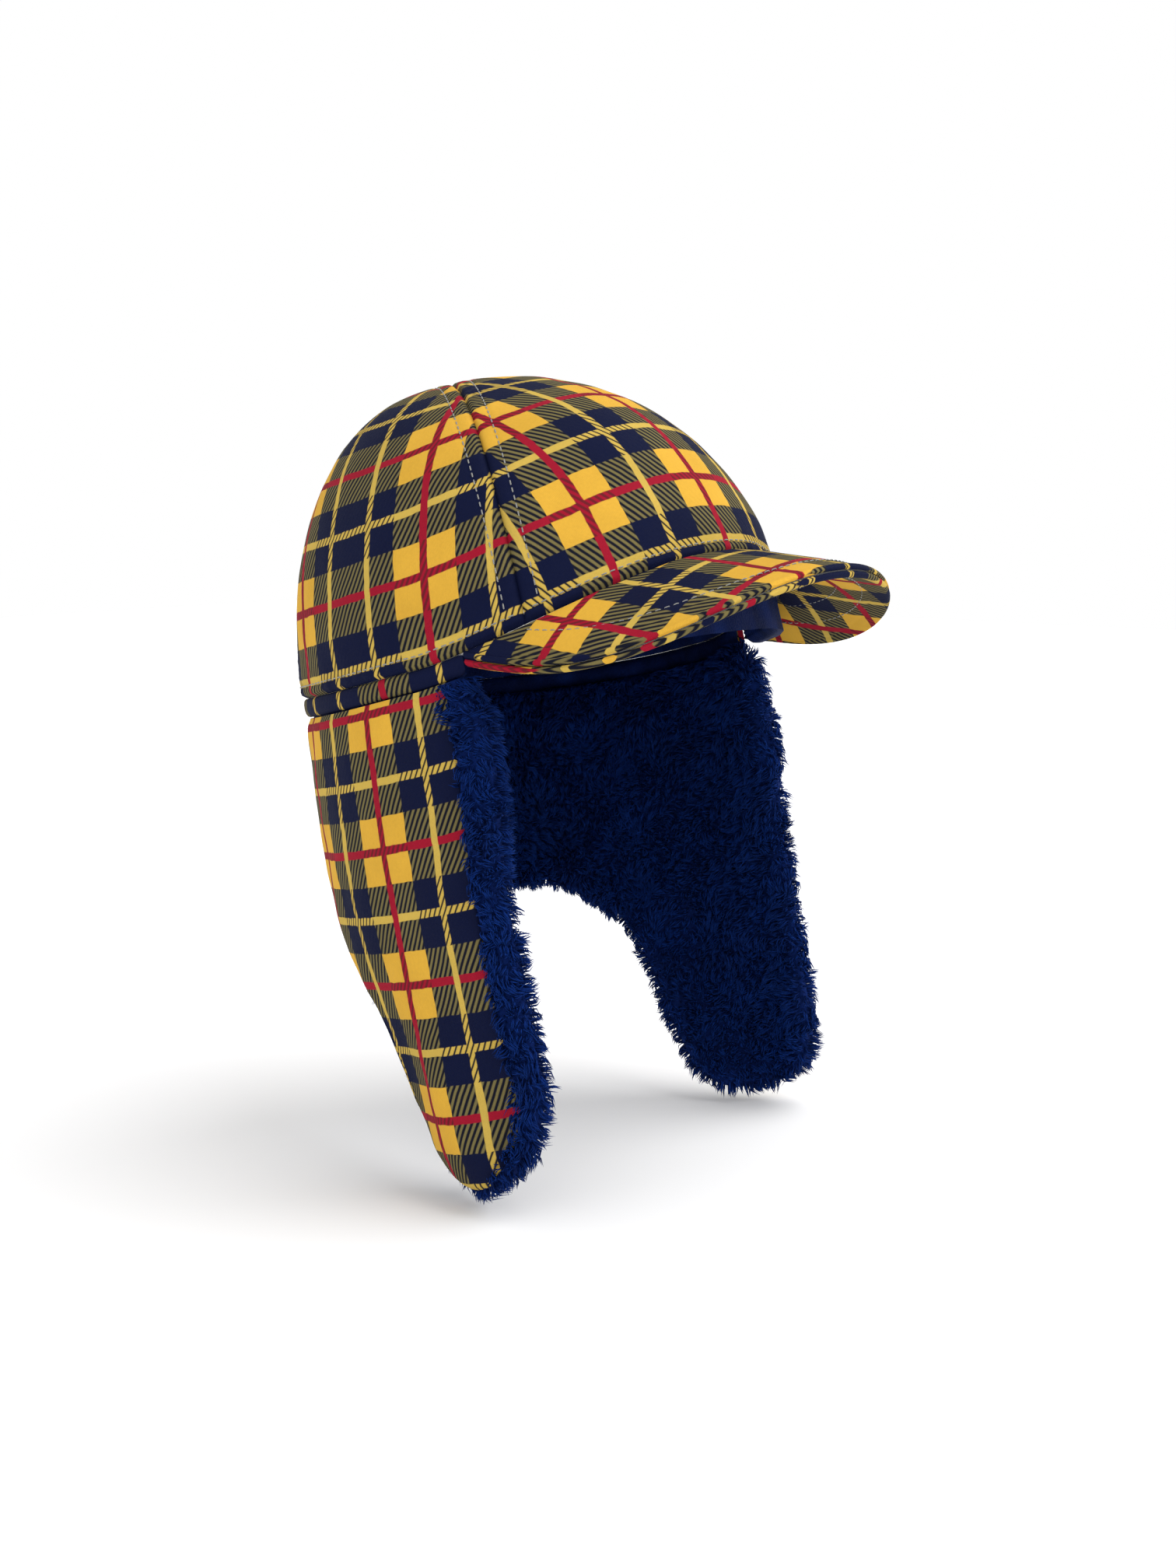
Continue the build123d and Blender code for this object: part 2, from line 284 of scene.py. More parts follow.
def tartan():
    """A twill check in yellow, navy and red, laid out in millimetres of cloth."""
    n = Nodes("tartan_cloth")
    uv, place = n.coordinates()
    u0, v0 = n.split(uv)
    shake = n.math("SUBTRACT", n.noise(place, 220.0, 2.0), 0.5)
    u = n.math("MULTIPLY_ADD", shake, 0.9, u0)
    v = n.math("MULTIPLY_ADD", shake, 0.9, v0)

    def stripe(x, centre, period, half, soft=0.35):
        moved = n.math("SUBTRACT", x, centre)
        away = n.math("ABSOLUTE", n.math("WRAP", moved, period / 2, -period / 2))
        return n.math("MULTIPLY_ADD", away, -1 / soft, half / soft + 0.5, clamp=True)

    def either(*masks):
        total = masks[0]
        for mask in masks[1:]:
            total = n.math("MAXIMUM", total, mask)
        return total

    warp = either(stripe(u, 0, 137, 14), stripe(u, 56, 137, 14))
    weft = stripe(v, 0, 56, 14)
    warp_red = either(stripe(u, 0, 137, 1.7), stripe(u, 56, 137, 1.7))
    warp_yellow = either(*(stripe(u, at, 137, 1.5) for at in (28, 84, 109)))
    weft_red, weft_yellow = stripe(v, 0, 56, 1.7), stripe(v, 28, 56, 1.6)
    slant = n.math("MULTIPLY_ADD", v, -0.58, u)
    twill = stripe(slant, 0, 2.7, 0.66, 0.5)
    cord = stripe(slant, 0, 2.7, 0.9, 0.5)

    navy, yellow = (0.0022, 0.0048, 0.028, 1), (0.64, 0.36, 0.040, 1)
    dark, olive = (0.0045, 0.0055, 0.014, 1), (0.165, 0.135, 0.050, 1)
    red, maroon = (0.30, 0.006, 0.022, 1), (0.13, 0.010, 0.016, 1)
    pale, shade = (0.54, 0.37, 0.070, 1), (0.009, 0.010, 0.017, 1)

    one = n.math("ABSOLUTE", n.math("SUBTRACT", warp, weft))
    both = n.math("MULTIPLY", warp, weft)
    c = n.mix(both, navy, yellow)
    c = n.mix(one, c, n.mix(twill, dark, olive))
    c = n.mix(weft_yellow, c, n.mix(either(cord, warp), shade, pale))
    c = n.mix(weft_red, c, n.mix(n.math("MULTIPLY", warp, twill), red, maroon))
    c = n.mix(warp_yellow, c, n.mix(either(cord, weft), shade, pale))
    c = n.mix(warp_red, c, n.mix(n.math("MULTIPLY", weft, twill), red, maroon))

    fine = n.math("SINE", n.math("MULTIPLY", n.math("MULTIPLY_ADD", v, -0.6, u), 2 * pi / 0.62))
    thread = n.math("SINE", n.math("MULTIPLY", n.math("MULTIPLY_ADD", u, 0.6, v), 2 * pi / 0.75))
    weave = n.math("MULTIPLY_ADD", n.math("MULTIPLY", fine, thread), 0.5, 0.5)
    soft = n.noise(place, 45.0, 4.0)
    grain = n.noise(place, 900.0, 2.0)
    value = n.math("MULTIPLY_ADD", weave, 0.12, n.level(soft, 0.80, 1.10))
    value = n.math("MULTIPLY_ADD", grain, 0.14, n.math("SUBTRACT", value, 0.07))
    n.put(n.bsdf.inputs["Base Color"], n.tint(c, value))
    n.put(n.bsdf.inputs["Roughness"], n.level(grain, 0.72, 0.92))
    n.bsdf.inputs["Specular IOR Level"].default_value = 0.10
    n.bump(n.math("MULTIPLY_ADD", twill, 0.35, n.math("MULTIPLY_ADD", grain, 0.5, weave)), 0.35, 0.00022)
    return n.mat


def pile(name, root, middle, tip, grain, sheen):
    """Plush: v runs from 0 at the roots to 1 at the tips, u is a number of its own for each tuft."""
    n = Nodes(name)
    uv, place = n.coordinates()
    u, v = n.split(uv)
    # Where v runs along a hair, this ramp paints shade at the roots: each hair is darker towards its root and
    # lighter towards its tip.
    ramp = n.tree.nodes.new("ShaderNodeValToRGB")
    ramp.color_ramp.elements[0].color = root
    ramp.color_ramp.elements[1].color = tip
    ramp.color_ramp.elements.new(0.55).color = middle
    n.put(ramp.inputs[0], v)
    patch = n.noise(place, 55.0, 3.0)
    value = n.math("MULTIPLY_ADD", patch, 0.9, n.level(u, 0.50, 0.80))
    n.put(n.bsdf.inputs["Base Color"], n.tint(ramp.outputs[0], value))
    n.put(n.bsdf.inputs["Roughness"], n.level(patch, 0.62, 0.85))
    n.bsdf.inputs["Specular IOR Level"].default_value = 0.08
    n.bsdf.inputs["Sheen Weight"].default_value = sheen
    n.bsdf.inputs["Sheen Tint"].default_value = (0.25, 0.45, 1.0, 1)
    n.bump(n.noise(place, grain, 4.0), 0.6, 0.0012)
    return n.mat


def fibre(name, colour, other, scale, rough, depth):
    """Plain fibrous or moulded surface in two close tones."""
    n = Nodes(name)
    place = n.coordinates()[1]
    spots = n.noise(place, scale, 6.0)
    n.put(n.bsdf.inputs["Base Color"], n.mix(spots, colour, other))
    n.put(n.bsdf.inputs["Roughness"], n.level(spots, rough, min(1.0, rough + 0.2)))
    n.bsdf.inputs["Specular IOR Level"].default_value = 0.25
    n.bump(spots, 0.5, depth)
    return n.mat


def ribbed_thread():
    n = Nodes("sewing_thread")
    uv, place = n.coordinates()
    u, v = n.split(uv)
    ply = n.math("SINE", n.math("MULTIPLY", n.math("MULTIPLY_ADD", u, 2.4, v), 2 * pi))
    twist = n.level(ply, 0.5, 1.0)
    n.put(n.bsdf.inputs["Base Color"], n.mix(twist, (0.12, 0.12, 0.115, 1), (0.36, 0.36, 0.34, 1)))
    n.put(n.bsdf.inputs["Roughness"], n.level(n.noise(place, 1500.0), 0.45, 0.7))
    n.bump(twist, 0.4, 0.00008)
    return n.mat


CLOTH = tartan()
# On the plush hairs, the darker root and middle colours are painted shade towards the roots of the pile.
PLUSH = pile("blue_plush", (0.0005, 0.0050, 0.040, 1), (0.0011, 0.0125, 0.095, 1), (0.0022, 0.027, 0.178, 1),
             grain=700.0, sheen=0.03)
LINING = pile("blue_lining", (0.0008, 0.003, 0.020, 1), (0.0016, 0.007, 0.048, 1), (0.003, 0.014, 0.09, 1),
              grain=1100.0, sheen=0.02)
THREAD = ribbed_thread()
WADDING = fibre("wadding", (0.72, 0.72, 0.70, 1), (0.85, 0.85, 0.83, 1), 350.0, 0.8, 0.0006)
BOARD = fibre("brim_board", (0.66, 0.66, 0.64, 1), (0.78, 0.78, 0.76, 1), 120.0, 0.4, 0.0001)


# Stitches
def stitches(lines, length, gap, radius):
    """Separate bent stitches along polylines; each dips into the cloth at its ends."""
    points, uv, faces = [], [], []
    around = np.arange(6) * pi / 3
    for line, out in lines:
        seg = np.linalg.norm(np.diff(line, axis=0), axis=1)
        run = np.concatenate([[0], np.cumsum(seg)])
        at = 0.6
        while at + length < run[-1]:
            spots = at + length * np.array([0, 0.18, 0.5, 0.82, 1.0])
            centre = np.stack([np.interp(spots, run, line[:, i]) for i in range(3)], -1)
            up = np.stack([np.interp(spots, run, out[:, i]) for i in range(3)], -1)
            up /= np.linalg.norm(up, axis=1, keepdims=True)
            ahead = centre[-1] - centre[0]
            ahead /= np.linalg.norm(ahead)
            across = np.cross(ahead, up)
            centre = centre + up * np.array([-0.5, 0.12, 0.25, 0.12, -0.5])[:, None] * radius * 2
            wide = radius * np.array([0.45, 0.95, 1.0, 0.95, 0.45])[:, None, None]
            high, aside = np.sin(around)[None, :, None], np.cos(around)[None, :, None]
            ring = up[:, None] * high + across[:, None] * aside
            base = len(points) * 30
            points.append((centre[:, None] + ring * wide).reshape(-1, 3))
            thread_uv = np.broadcast_arrays((spots - at)[:, None], around[None] / 6)
            uv.append(np.stack(thread_uv, -1).reshape(-1, 2))
            k = np.arange(4)[:, None] * 6
            j = np.arange(6)[None]
            quad = np.stack(np.broadcast_arrays(k + j, k + (j + 1) % 6, k + 6 + (j + 1) % 6, k + 6 + j), -1)
            faces.append(quad.reshape(-1, 4) + base)
            at += length + gap
    return np.concatenate(points), np.concatenate(faces), np.concatenate(uv)


# Crown panels
def crown_grid(middle, spread, rows, cols, inset=0.0):
    """Rows from the hem to the apex and columns round the panel, with cloth coordinates."""
    angles = np.radians(np.linspace(middle - spread / 2, middle + spread / 2, cols))
    grid = np.zeros((rows, cols, 3))
    height = np.zeros((rows, cols))
    for j, theta in enumerate(angles):
        low = 0.05
        for _ in range(8):
            low = np.arcsin(hem_height(dome(theta, low)[1]) / HEIGHT)
        line = dome(theta, np.radians(np.linspace(np.degrees(low), 89.9, 400)), inset)
        run = np.concatenate([[0], np.cumsum(np.linalg.norm(np.diff(line, axis=0), axis=1))])
        want = np.linspace(0, run[-1], rows)
        grid[:, j] = np.stack([np.interp(want, run, line[:, i]) for i in range(3)], -1)
        height[:, j] = want
    across = np.linalg.norm(np.diff(grid, axis=1), axis=2)
    run = np.concatenate([np.zeros((rows, 1)), np.cumsum(across, axis=1)], 1)
    run -= run[:, [cols // 2]]
    side = []
    for end in (angles[0], angles[-1]):
        d = np.array([-WIDTH * sin(end), -DEPTH * cos(end) - APEX])
        d /= np.linalg.norm(d)
        side.append(np.abs(grid[..., 0] * d[1] - (grid[..., 1] - APEX) * d[0]))
    return grid, run, height, side


def crown_panels():
    """The padded cloth panels with their seams sunk in, the linings, and the stitches beside the seams."""
    lines, hem_line = [], []
    for k, (place, (middle, spread, phase)) in enumerate(PANELS.items()):
        rows, cols = 120, 2 * int(spread * 0.62) + 1
        grid, run, up, side = crown_grid(middle, spread, rows, cols)
        seam = np.minimum(*side)
        n = normals(grid)
        if (n * (grid - [0, 10, 20])).sum() < 0:
            n = -n
        out = 0.8 + 0.8 * (1 - np.exp(-seam / 13))
        out += 0.75 * ripple(grid, 62, 20 + k) * step(seam, 3, 22) * step(up, 3, 20)
        out += 0.16 * ripple(grid, 13, 40 + k)
        pucker = np.sin(2 * pi * up / 6.4 + 2 * ripple(grid, 30, 3))
        out += 0.20 * pucker * np.exp(-((seam - 3.6) / 3.4) ** 2)
        to_apex = up[-1:] - up
        out -= 1.9 * np.exp(-(seam / 0.9) ** 2) * step(up, 0, 2) * step(to_apex, 6, 34)
        out -= 0.5 * np.exp(-((seam - 6.5) / 0.9) ** 2)
        hem_pucker = np.sin(2 * pi * run / 7.3 + 2 * ripple(grid, 34, 5))
        out += 0.16 * hem_pucker * np.exp(-((up - 2.6) / 3.0) ** 2)
        out -= 2.4 * np.exp(-(up / 1.0) ** 2) + 0.45 * np.exp(-((up - 4.9) / 0.8) ** 2)
        skin = grid + n * out[..., None]
        uv = np.stack([run * (1 if place == "front" else -1) + phase, up + 22], -1)
        ob = make(f"{place}_cloth_panel", skin.reshape(-1, 3), grid_faces(rows, cols), uv.reshape(-1, 2),
                  CLOTH, [f"{place}_panel"], finish="tartan_cloth", flip=True)
        for d, edge in zip(side, (slice(None, cols // 2), slice(cols - 1, cols // 2, -1))):
            spots = []
            for i in range(rows):
                far = d[i, edge]
                if far[-1] > 7.5 and up[i, 0] > 6.5:
                    spots.append([np.interp(6.5, far, skin[i, edge][:, a]) for a in range(3)]
                                 + [np.interp(6.5, far, n[i, edge][:, a]) for a in range(3)])
            spots = np.array(spots)
            lines.append((spots[:, :3], spots[:, 3:]))
        spots = np.array([[np.interp(4.9, up[:, j], skin[:, j, a]) for a in range(3)]
                          + [np.interp(4.9, up[:, j], n[:, j, a]) for a in range(3)] for j in range(cols)])
        hem_line.append((spots[2:-2, :3], spots[2:-2, 3:]))

        rows, cols = 50, 45
        grid, run, up, side = crown_grid(middle, spread, rows, cols, 4.7)
        seam = np.minimum(*side)
        n = normals(grid)
        if (n * (grid - [0, 10, 20])).sum() < 0:
            n = -n
        loft = 0.4 + 1.0 * (1 - np.exp(-seam / 6)) + 0.25 * ripple(grid, 9, 60 + k)
        inner = grid - n * loft[..., None]
        points = np.concatenate([grid.reshape(-1, 3), inner.reshape(-1, 3)])
        rim = np.arange(cols - 1)
        lip = np.stack([rim, rim + 1, rim + 1 + rows * cols, rim + rows * cols], -1)
        back = grid_faces(rows, cols, rows * cols)[:, ::-1]
        faces = np.concatenate([grid_faces(rows, cols), back, lip[:, ::-1]])
        pile_uv = np.stack([0.5 + 0.5 * ripple(points, 4, 9), 0.55 + 0.3 * ripple(points, 7, 8)], -1)
        ob = make(f"{place}_lining_pile", points, faces, pile_uv, LINING, [f"{place}_lining"],
                  finish="blue_lining")
        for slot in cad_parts[f"{place}_wadding"].material_slots:
            slot.material = WADDING
    for name, sewn, node in (("seam", lines, "crown_topstitching"), ("hem", hem_line, "hem_stitching")):
        make(f"{name}_topstitches", *stitches(sewn, 2.7, 0.9, 0.30), THREAD, [node], finish="thread")


# Strips round the opening
def strip(name, profile, start, end, cols, mat, nodes, finish, taper=4.0, phase=(0, 0), bumps=0.0):
    """A closed strip: profile gives (inset, share of its height), 0 at the hem, for each corner."""
    angles = np.radians(np.linspace(start, end, cols))
    x, y = -np.sin(angles), -np.cos(angles)
    top = hem_height(DEPTH * y) - 0.3
    low = profile["low"](DEPTH * y)
    ends = np.minimum(np.arange(cols), np.arange(cols)[::-1]) * (DEPTH * (angles[1] - angles[0]))
    full = np.sqrt(np.clip(1 - (1 - np.clip(ends / taper, 0, 1)) ** 2, 0, 1))
    shape = profile["shape"]
    back = shape[:, 0].min()
    grid = np.zeros((len(shape) + 1, cols, 3))
    for i, (inset, share) in enumerate(np.vstack([shape, shape[:1]])):
        real = back + (inset - back) * full
        middle = (top + low) / 2
        z = middle + (top + (low - top) * share - middle) * (0.75 + 0.25 * full)
        grid[i] = np.stack([x * (WIDTH - real), y * (DEPTH - real), z], -1)
    if bumps:
        flat = grid.reshape(-1, 3)
        swell = (bumps * ripple(flat, 11, 31)).reshape(len(shape) + 1, cols, 1)
        grid += swell * np.stack([x, y, 0 * x], -1)[None]
        grid[-1] = grid[0]
    run = np.concatenate([[0], np.cumsum(np.linalg.norm(np.diff(grid[0], axis=0), axis=1))])
    around = np.concatenate([[0], np.cumsum(np.linalg.norm(np.diff(grid[:, cols // 2], axis=0), axis=1))])
    if finish == "tartan_cloth":
        uv = np.stack(np.broadcast_arrays(-run[None] + phase[0], phase[1] - around[:, None]), -1)
    else:
        flat = grid.reshape(-1, 3)
        uv = np.stack([0.5 + 0.5 * ripple(flat, 4, 9), 0.5 + 0.3 * ripple(flat, 7, 8)], -1)
    faces = grid_faces(len(shape) + 1, cols)
    return make(name, grid.reshape(-1, 3), faces, uv.reshape(-1, 2), mat, nodes, finish=finish)


def band_pieces():
    """The folded cloth band, the facing behind it and the rolled forehead band, as closed sections."""
    fold = np.array([(1.9, -0.02), (0.4, 0.0), (-0.35, 0.10), (-0.75, 0.3), (-0.85, 0.55), (-0.6, 0.78),
                     (0.0, 0.94), (0.9, 1.0), (1.9, 0.98), (1.8, 0.5)])
    low = lambda y: hem_height(y) - 8
    strip("rim_band_fold", {"shape": fold, "low": low}, 68.5, 291.5, 260, CLOTH, ["rim_band"], "tartan_cloth",
          phase=(40, 41))
    pad = np.array([(2.1, 0.02), (2.1, 0.5), (2.1, 1.1), (3.6, 1.16), (5.6, 0.93), (6.6, 0.7), (6.9, 0.45),
                    (6.5, 0.2), (5.4, 0.04), (3.6, 0.0)])
    ob = strip("rim_facing_pad", {"shape": pad, "low": low}, 69, 291, 180, LINING, ["rim_facing"],
               "blue_lining", bumps=0.3)
    v = np.linspace(0, 1, 33)
    rib = 0.45 * np.cos(v * 2 * pi * 5)
    face = np.stack([2.2 + 7.6 * np.sin(pi * v) ** 0.42 + rib * np.sin(pi * v), 1 - v], -1)
    roll = np.concatenate([[(2.2, 0.0), (2.2, 0.5)], face])
    level = lambda y: 0 * y - 4.0
    ob = strip("forehead_roll", {"shape": roll, "low": level}, -BROW_END, BROW_END, 150, LINING,
               ["forehead_band"], "blue_lining", taper=9.0, bumps=0.35)


# Brim
def brim_pieces():
    """Both covers, each rolled over half of the brim's edge, and the rows of stitches through them."""
    cols, rows = 121, 34
    t = np.linspace(-pi / 2, pi / 2, cols)
    ex, ey = brim_edge(t)
    root_x = ex
    root_y = -np.sqrt(np.clip(1 - (root_x / WIDTH) ** 2, 0, 1)) * DEPTH
    slant = sqrt(1 + BRIM_SLOPE ** 2)
    fine = np.linspace(-WIDTH, WIDTH, 800)
    rise = np.gradient(brim_arch(fine), fine) / slant
    arc = np.concatenate([[0], np.cumsum(np.sqrt(1 + rise[1:] ** 2) * np.diff(fine))])
    arc -= np.interp(0, fine, arc)

    def face(y, x):
        return brim_arch(x) + BRIM_SLOPE * y

    out_x = np.gradient(ey)
    out_y = -np.gradient(ex)
    size = np.hypot(out_x, out_y) + 1e-9
    out_x, out_y = out_x / size, out_y / size
    if out_y[cols // 2] > 0:
        out_x, out_y = -out_x, -out_y
    for part, sign in (("top", 1), ("under", -1)):
        grid = []
        for s in np.linspace(0, 1, rows) ** 0.9:
            x, y = root_x + (ex - root_x) * s, root_y - 0.3 + (ey - root_y + 0.3) * s
            lift = 0.35 * np.sin(pi * s) + 0.22 * ripple(np.stack([x, y, 0 * x], -1), 24, 71)
            gap = np.hypot(x - ex, y - ey)
            lift = lift - 0.30 * np.exp(-((gap - 8.5) / 1.0) ** 2)
            drop = 0 if sign > 0 else BRIM_THICK
            grid.append(np.stack([x, y, face(y, x) - drop + sign * lift * (s < 1)], -1))
        for a in (15, 35, 55, 72, 84, 90):
            q = radians(a)
            go, fall = 1.5 * sin(q) - 0.9 * step(a, 70, 90), BRIM_THICK / 2 * (1 - cos(q)) * 0.92
            x, y = ex + out_x * go, ey + out_y * go
            z = face(ey, ex) - (fall if sign > 0 else BRIM_THICK - fall)
            grid.append(np.stack([x, y, z], -1))
        grid = np.array(grid)
        u = np.interp(grid[..., 0], fine, arc)
        v = -grid[..., 1] * slant - BRIM_SLOPE * brim_arch(grid[..., 0]) / slant
        roll = np.arange(len(grid))[:, None] >= rows
        v = v + roll * np.linspace(0, 1, len(grid))[:, None] * 0.8
        uv = np.stack([BRIM_U[0] * u + BRIM_U[1], v + BRIM_V], -1)
        if sign < 0:
            uv = uv + [23.0, 17.0]
        ob = make(f"brim_{part}_cloth", grid.reshape(-1, 3), grid_faces(len(grid), cols), uv.reshape(-1, 2),
                  CLOTH, [f"brim_{part}_cover"], finish="tartan_cloth", flip=sign < 0)
    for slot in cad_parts["brim_board"].material_slots:
        slot.material = BOARD
    rows_under = (9.0, 18.0, 27.0, 36.0)
    for part, insets, level in (("top", (9.0,), 0.15), ("under", rows_under, -BRIM_THICK - 0.15)):
        lines = []
        for inset in insets:
            x, y = brim_edge(np.linspace(-pi / 2, pi / 2, 160), inset)
            keep = (x / (WIDTH + 1)) ** 2 + (y / (DEPTH + 1)) ** 2 > 1.01
            x, y = x[keep], y[keep]
            line = np.stack([x, y, face(y, x) + level], -1)
            up = np.stack([0 * x, 0 * x, 0 * x + (1 if level > 0 else -1)], -1)
            lines.append((line, up))
        make(f"brim_{part}_stitches", *stitches(lines, 2.6, 0.9, 0.28), THREAD, [f"brim_{part}_stitching"],
             finish="thread")


# Flap: one continuous sheet of spots on each side, shared out among its segments
def flap_grid(grow, first, rows):
    """Angles and heights of spots all over one side's flap, from its front edge to the nape."""
    a = np.concatenate([np.linspace(0, 1, 26)[:-1] ** 1.5 * 9, np.linspace(9, 180 - first, 132)])
    theta = np.radians(first + a)
    top = hem_height(-DEPTH * np.cos(theta)) - SEAM_TOP
    low = flap_low(theta, grow)
    b = np.linspace(0, 1, rows)[:, None]
    b = b + 0.10 * np.sin(pi * b) * (1 - b)
    z = top[None] + (low - top)[None] * b
    return theta[None] + 0 * z, z


def edge_distance(theta, z):
    """How far each spot on the flap is from the flap's free edge, in millimetres."""
    p = flap(theta, z)
    line = np.concatenate([p[:, 0], p[-1]])
    flat = p.reshape(-1, 3)
    best = np.empty(len(flat))
    for i in range(0, len(flat), 3000):
        best[i:i + 3000] = np.sqrt(((flat[i:i + 3000, None] - line[None]) ** 2).sum(-1)).min(1)
    return best.reshape(theta.shape)


def in_segment(place, theta, z, extra):
    """How far inside a segment each spot is, in millimetres; extra lets it reach past its sides."""
    a, mm = np.degrees(theta), 1.78
    if place == "ear":
        upper = (EAR_END - a) * mm + extra
        lower = np.minimum((TIP_END - a) * mm + extra, TIP_HINGE + extra - z)
        return np.maximum(upper, lower)
    if place == "corner":
        clear = np.maximum((a - TIP_END) * mm + extra, z - TIP_HINGE + extra)
        return np.minimum(np.minimum((a - EAR_END) * mm, (CORNER_END - a) * mm) + extra, clear)
    return (a - CORNER_END) * mm + extra


def used(points, faces, uv):
    """Drops the points that no face uses."""
    index, back = np.unique(faces, return_inverse=True)
    return points[index], back.reshape(faces.shape), uv[index]


def flap_cloth(side, theta, z, free):
    """The check cloth of one side's flap, with its edges rolled in and its front edge set back."""
    rows, cols = theta.shape
    behind = np.clip(1 - (theta - theta[:, :1]) / radians(25), 0, 1) * step(z, -200, -150)
    theta = theta + np.radians(2.2 + 1.6 * step(-z, 30, 80)) * behind
    spin = theta if side == "right" else 2 * pi - theta
    roll = 3.0 * np.exp(-(free / 1.6) ** 2) + 1.2 * np.exp(-(free / 7) ** 2)
    spots = flap(spin, z)
    crease = 0.25 * ripple(spots, 17, 82) + 0.12 * ripple(spots, 8, 83)
    depth = hem_height(-DEPTH * np.cos(theta)) - SEAM_TOP - z
    p = flap(spin, z, 0.9 + roll + 1.2 * np.exp(-(depth / 2.0) ** 2) - crease)
    arc = np.cumsum(np.linalg.norm(np.diff(flap(spin, z * 0 - 60), axis=1), axis=2), axis=1)
    arc = np.concatenate([np.zeros((rows, 1)), arc], 1)
    uv = np.stack([100 - arc + (61 if side == "left" else 0), 4 - 1.05 * depth], -1)
    faces = grid_faces(rows, cols)
    corners = faces[:, [0, 2]]
    middle_a, middle_z = theta.ravel()[corners].mean(1), z.ravel()[corners].mean(1)
    for place in ("ear", "corner", "neck"):
        mine = faces[in_segment(place, middle_a, middle_z, 0.0) > 0]
        points, mine, mine_uv = used(p.reshape(-1, 3), mine, uv.reshape(-1, 2))
        nodes = [f"{side}_{place}_cloth"] + ([f"{side}_ear_tip_cloth"] if place == "ear" else [])
        ob = make(f"{side}_{place}_flap_cloth", points, mine, mine_uv, CLOTH, nodes, None, "tartan_cloth",
                  flip=side == "right")
        fold_or_ride(ob, side, place)


def fold_or_ride(ob, side, place):
    """The ear piece only has its placement baked into its mesh; the others move with their own segment."""
    if place != "ear":
        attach(ob, f"{side}_{place}")
        return
    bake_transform(ob)


def tufts(points, faces, keep, count, length, seed):
    """Tapered three-sided hairs on a base mesh, gathered into small tufts and combed downwards."""
    r = np.random.default_rng(seed)
    faces = faces[keep]
    a, b, c, d = (points[faces[:, i]] for i in range(4))
    normal = np.cross(c - a, d - b)
    area = np.linalg.norm(normal, axis=1)
    normal = normal / (area[:, None] + 1e-9)
    pick = r.choice(len(faces), count, p=area / area.sum())
    s, t = r.random((count, 1)), r.random((count, 1))
    root = (a[pick] * (1 - s) + b[pick] * s) * (1 - t) + (d[pick] * (1 - s) + c[pick] * s) * t
    out = normal[pick]
    groups = max(1, count // 9)
    lead = r.choice(count, groups, replace=False)
    near = np.empty(count, int)
    for i in range(0, count, 3000):
        gap = root[i:i + 3000, None] - root[lead][None]
        near[i:i + 3000] = (gap ** 2).sum(-1).argmin(1)
    sway = np.stack([ripple(root, 16, seed + 1), ripple(root, 16, seed + 2), ripple(root, 16, seed + 3)], -1)
    bend = 0.55 * sway + 0.30 * r.normal(size=(groups, 3))[near] + 0.16 * r.normal(size=(count, 3))
    inward = -root * [1, 1, 0]
    bend += np.array([0, 0, -0.45]) + 0.35 * inward / np.linalg.norm(inward, axis=1, keepdims=True)
    way = out + bend
    way /= np.linalg.norm(way, axis=1, keepdims=True)
    reach = length * r.uniform(0.65, 1.15, (count, 1)) * (0.85 + 0.25 * r.random((groups, 1))[near])
    tip = root + way * reach
    gather = (root[lead] + way[lead] * reach[lead])[near]
    tip = tip + (gather - tip) * 0.42
    middle = root + (out * 0.65 + way * 0.35) * reach * 0.5 + (tip - root) * 0.08
    side = np.cross(way, r.normal(size=(count, 3)))
    side /= np.linalg.norm(side, axis=1, keepdims=True)
    other = np.cross(way, side)
    ring = [side, -0.5 * side + 0.87 * other, -0.5 * side - 0.87 * other]
    thick = r.uniform(0.26, 0.42, (count, 1))
    p = [root - out * 0.5 + v * thick for v in ring] + [middle + v * thick * 0.85 for v in ring] + [tip]
    p = np.stack(p, 1).reshape(-1, 3)
    lower = [(0, 1, 4), (0, 4, 3), (1, 2, 5), (1, 5, 4), (2, 0, 3), (2, 3, 5)]
    f = np.array(lower + [(3, 4, 6), (4, 5, 6), (5, 3, 6)])
    f = (f[None] + 7 * np.arange(count)[:, None, None]).reshape(-1, 3)
    tone = np.repeat(0.6 * r.random((groups, 1))[near] + 0.4 * r.random((count, 1)), 7, 1)
    # Place along each hair, 0.3 at the root to 1 at the tip, which the pile's ramp turns into painted shade
    # at the roots.
    along = np.tile([0.3, 0.3, 0.3, 0.65, 0.65, 0.65, 1.0], (count, 1))
    return p, f, np.stack([tone.ravel(), along.ravel()], -1)


